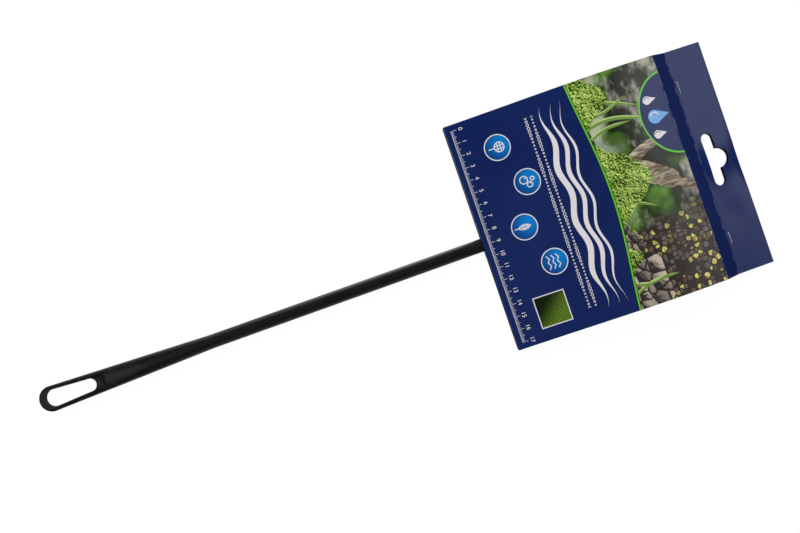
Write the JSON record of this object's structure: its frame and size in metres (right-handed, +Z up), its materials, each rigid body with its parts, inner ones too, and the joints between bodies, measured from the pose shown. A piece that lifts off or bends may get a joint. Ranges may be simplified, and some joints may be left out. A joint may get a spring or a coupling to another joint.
{
  "type": "aquarium fish net",
  "caption": "Aquarium fish net with a hollow black handle and hanging eye, its wire frame and folded mesh bag inside a printed hanging card closed by staples.",
  "frame": {"origin": "centre of the bounding box, on the surface that the card's back panel lies on", "axes": "+X along the handle from its hanging eye to the card's header, +Z up, out of the card's front panel"},
  "size_m": [0.5711, 0.18, 0.0236],
  "materials": {
    "handle": "satin black moulded plastic",
    "frame_socket": "satin black moulded plastic",
    "frame_wire": "drawn spring wire",
    "frame_coating": "smooth black dipped coating",
    "hem_band": "black woven tape",
    "hem_thread": "black sewing thread",
    "net_bag": "fine black knotless mesh",
    "side_seams": "gathered mesh and thread",
    "card_back": "printed card, satin varnish",
    "card_front": "printed card, satin varnish",
    "staples": "bright galvanised wire"
  },
  "bodies": {
    "card": {"card_back": "card_back"},
    "flap": {"card_front": "card_front", "staples": "staples"},
    "net": {"handle": "handle", "frame_socket": "frame_socket", "frame_wire": "frame_wire", "frame_coating": "frame_coating", "hem_band": "hem_band", "hem_thread": "hem_thread", "net_bag": "net_bag", "side_seams": "side_seams"}
  },
  "joints": [
    {"name": "card_fold", "type": "hinge", "parent": "card", "child": "flap", "pos_m": [0.0762, 0, 0.01337], "axis": [0, -1, 0], "range_deg": [0, 170], "deforming": ["staples"]},
    {"name": "net_draw", "type": "slide", "parent": "card", "child": "net", "axis": [-0.9999, -0.0122, 0], "range_m": [0, 0.024]}
  ]
}
